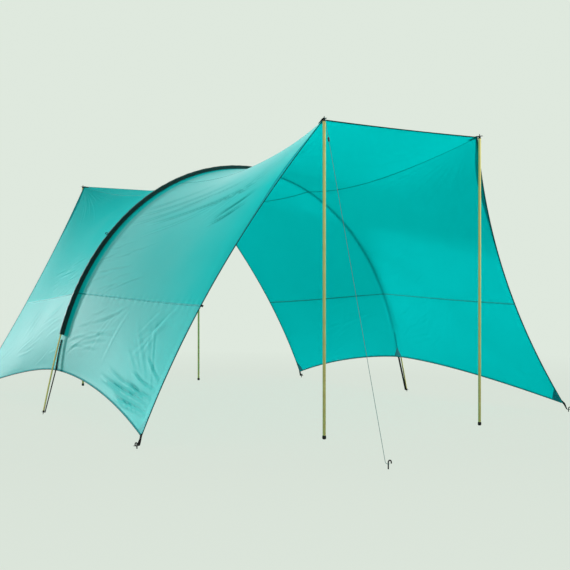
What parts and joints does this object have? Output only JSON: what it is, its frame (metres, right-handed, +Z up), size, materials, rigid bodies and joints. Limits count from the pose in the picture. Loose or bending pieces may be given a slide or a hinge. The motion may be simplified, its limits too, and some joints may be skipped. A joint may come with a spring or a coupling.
{
  "type": "camping tarp",
  "caption": "Open camping tarp: cloth roof and side walls over a sleeved arch pole, corner poles at both mouths, hems held down by webbing and pegs, and a guyline with a slider.",
  "frame": {"origin": "bottom centre of the box round the whole part, at the tips of the driven pegs; the ground surface lies 0.16 m above it", "axes": "+X across the shelter to the right when seen from its front mouth, +Y from the front mouth to the rear, +Z up"},
  "size_m": [4.0054, 6.0211, 2.3815],
  "materials": {
    "canopy_cloth": "coated polyester, slightly shiny, lets some light through",
    "hem_binding": "folded tape, matt",
    "sleeve_cloth": "heavier cloth, matt",
    "webbing": "woven tape, matt, with dark metal eyelets",
    "gold_tube": "anodised, satin",
    "black_plastic": "moulded, matt",
    "black_rubber": "moulded, matt",
    "dark_steel": "dull, dark",
    "guyline_cord": "braided, matt"
  },
  "bodies": {
    "shelter": {"roof_panel": "canopy_cloth", "left_upper_wall": "canopy_cloth", "right_upper_wall": "canopy_cloth", "left_lower_wall": "canopy_cloth", "right_lower_wall": "canopy_cloth", "front_hem": "hem_binding", "rear_hem": "hem_binding", "left_hem": "hem_binding", "right_hem": "hem_binding", "pole_sleeve": "sleeve_cloth", "front_left_roof_strap": "webbing", "front_left_ground_strap": "webbing", "front_left_ground_peg": "dark_steel", "front_right_roof_strap": "webbing", "front_right_ground_strap": "webbing", "front_right_ground_peg": "dark_steel", "rear_left_roof_strap": "webbing", "rear_left_ground_strap": "webbing", "rear_left_ground_peg": "dark_steel", "rear_right_roof_strap": "webbing", "rear_right_ground_strap": "webbing", "rear_right_ground_peg": "dark_steel", "left_arch_foot_strap": "webbing", "left_arch_tip": "dark_steel", "right_arch_foot_strap": "webbing", "right_arch_tip": "dark_steel", "arch_pole_section_1": "gold_tube", "arch_pole_section_2": "gold_tube", "arch_pole_section_3": "gold_tube", "arch_pole_section_4": "gold_tube", "arch_pole_section_5": "gold_tube", "arch_pole_section_6": "gold_tube", "arch_pole_section_7": "gold_tube", "guyline": "guyline_cord", "guyline_peg": "dark_steel"},
    "front_left_pole": {"front_left_pole_spike": "black_plastic", "front_left_pole_section_1": "gold_tube"},
    "front_left_pole_second": {"front_left_pole_section_2": "gold_tube"},
    "front_left_pole_third": {"front_left_pole_section_3": "gold_tube"},
    "front_left_pole_lowest": {"front_left_pole_section_4": "gold_tube", "front_left_pole_foot": "black_rubber"},
    "front_right_pole": {"front_right_pole_spike": "black_plastic", "front_right_pole_section_1": "gold_tube"},
    "front_right_pole_second": {"front_right_pole_section_2": "gold_tube"},
    "front_right_pole_third": {"front_right_pole_section_3": "gold_tube"},
    "front_right_pole_lowest": {"front_right_pole_section_4": "gold_tube", "front_right_pole_foot": "black_rubber"},
    "rear_left_pole": {"rear_left_pole_spike": "black_plastic", "rear_left_pole_section_1": "gold_tube"},
    "rear_left_pole_second": {"rear_left_pole_section_2": "gold_tube"},
    "rear_left_pole_third": {"rear_left_pole_section_3": "gold_tube"},
    "rear_left_pole_lowest": {"rear_left_pole_section_4": "gold_tube", "rear_left_pole_foot": "black_rubber"},
    "rear_right_pole": {"rear_right_pole_spike": "black_plastic", "rear_right_pole_section_1": "gold_tube"},
    "rear_right_pole_second": {"rear_right_pole_section_2": "gold_tube"},
    "rear_right_pole_third": {"rear_right_pole_section_3": "gold_tube"},
    "rear_right_pole_lowest": {"rear_right_pole_section_4": "gold_tube", "rear_right_pole_foot": "black_rubber"},
    "tensioner": {"line_tensioner": "black_plastic"}
  },
  "joints": [
    {"name": "front_left_pole_swing", "type": "hinge", "parent": "shelter", "child": "front_left_pole", "pos_m": [-0.71071, -1.83465, 2.35546], "axis": [1, 0, 0], "range_deg": [-10, 10]},
    {"name": "front_left_ferrule_1_pull", "type": "slide", "parent": "front_left_pole", "child": "front_left_pole_second", "axis": [0, 0, -1], "range_m": [0, 0.055], "stiffness_N_per_m": 40, "springref_m": -0.4},
    {"name": "front_left_ferrule_2_pull", "type": "slide", "parent": "front_left_pole_second", "child": "front_left_pole_third", "axis": [0, 0, -1], "range_m": [0, 0.055], "stiffness_N_per_m": 40, "springref_m": -0.4},
    {"name": "front_left_ferrule_3_pull", "type": "slide", "parent": "front_left_pole_third", "child": "front_left_pole_lowest", "axis": [0, 0, -1], "range_m": [0, 0.055], "stiffness_N_per_m": 40, "springref_m": -0.4},
    {"name": "front_right_pole_swing", "type": "hinge", "parent": "shelter", "child": "front_right_pole", "pos_m": [0.71071, -1.83465, 2.35546], "axis": [1, 0, 0], "range_deg": [-10, 10]},
    {"name": "front_right_ferrule_1_pull", "type": "slide", "parent": "front_right_pole", "child": "front_right_pole_second", "axis": [0, 0, -1], "range_m": [0, 0.055], "stiffness_N_per_m": 40, "springref_m": -0.4},
    {"name": "front_right_ferrule_2_pull", "type": "slide", "parent": "front_right_pole_second", "child": "front_right_pole_third", "axis": [0, 0, -1], "range_m": [0, 0.055], "stiffness_N_per_m": 40, "springref_m": -0.4},
    {"name": "front_right_ferrule_3_pull", "type": "slide", "parent": "front_right_pole_third", "child": "front_right_pole_lowest", "axis": [0, 0, -1], "range_m": [0, 0.055], "stiffness_N_per_m": 40, "springref_m": -0.4},
    {"name": "rear_left_pole_swing", "type": "hinge", "parent": "shelter", "child": "rear_left_pole", "pos_m": [-0.71071, 2.98065, 2.35546], "axis": [1, 0, 0], "range_deg": [-10, 10]},
    {"name": "rear_left_ferrule_1_pull", "type": "slide", "parent": "rear_left_pole", "child": "rear_left_pole_second", "axis": [0, 0, -1], "range_m": [0, 0.055], "stiffness_N_per_m": 40, "springref_m": -0.4},
    {"name": "rear_left_ferrule_2_pull", "type": "slide", "parent": "rear_left_pole_second", "child": "rear_left_pole_third", "axis": [0, 0, -1], "range_m": [0, 0.055], "stiffness_N_per_m": 40, "springref_m": -0.4},
    {"name": "rear_left_ferrule_3_pull", "type": "slide", "parent": "rear_left_pole_third", "child": "rear_left_pole_lowest", "axis": [0, 0, -1], "range_m": [0, 0.055], "stiffness_N_per_m": 40, "springref_m": -0.4},
    {"name": "rear_right_pole_swing", "type": "hinge", "parent": "shelter", "child": "rear_right_pole", "pos_m": [0.71071, 2.98065, 2.35546], "axis": [1, 0, 0], "range_deg": [-10, 10]},
    {"name": "rear_right_ferrule_1_pull", "type": "slide", "parent": "rear_right_pole", "child": "rear_right_pole_second", "axis": [0, 0, -1], "range_m": [0, 0.055], "stiffness_N_per_m": 40, "springref_m": -0.4},
    {"name": "rear_right_ferrule_2_pull", "type": "slide", "parent": "rear_right_pole_second", "child": "rear_right_pole_third", "axis": [0, 0, -1], "range_m": [0, 0.055], "stiffness_N_per_m": 40, "springref_m": -0.4},
    {"name": "rear_right_ferrule_3_pull", "type": "slide", "parent": "rear_right_pole_third", "child": "rear_right_pole_lowest", "axis": [0, 0, -1], "range_m": [0, 0.055], "stiffness_N_per_m": 40, "springref_m": -0.4},
    {"name": "tensioner_slide", "type": "slide", "parent": "shelter", "child": "tensioner", "axis": [-0.1306, -0.4492, -0.8838], "range_m": [-0.1, 0.5]}
  ]
}
